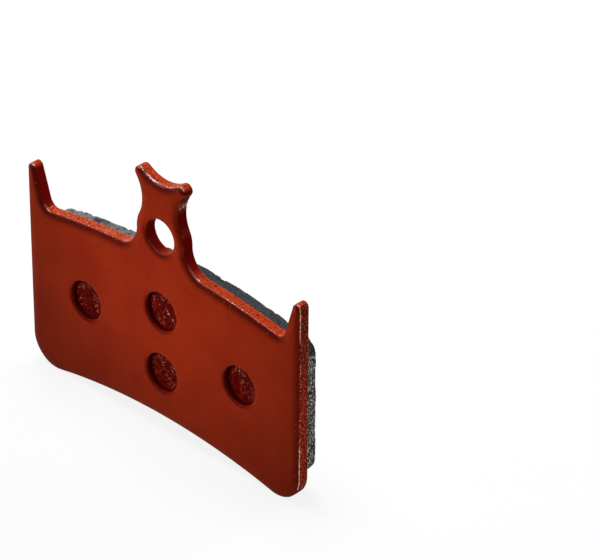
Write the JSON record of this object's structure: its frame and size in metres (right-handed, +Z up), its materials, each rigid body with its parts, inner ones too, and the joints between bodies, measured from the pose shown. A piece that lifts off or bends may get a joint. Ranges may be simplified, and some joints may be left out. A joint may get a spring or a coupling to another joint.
{
  "type": "bicycle disc brake pad",
  "caption": "Flat disc brake pad: a painted steel backing plate with a crowned, pin-holed tab between two pointed horns, carrying a moulded friction block keyed into round holes.",
  "frame": {"origin": "on the axis of the pin hole, at mid-thickness of the backing plate", "axes": "+Z up through the tab, away from the rotor's axle; -Y out of the face that the pistons push; +Y out of the friction face, towards the rotor; +X to the right seen from the piston side"},
  "size_m": [0.042, 0.0037, 0.0329],
  "materials": {
    "red_paint": "semi-gloss paint over stamped steel",
    "friction_compound": "moulded resin compound with mineral grains and metal fibres, ground friction face"
  },
  "bodies": {
    "root": {"backing_plate": "red_paint", "friction_block": "friction_compound"}
  },
  "joints": []
}
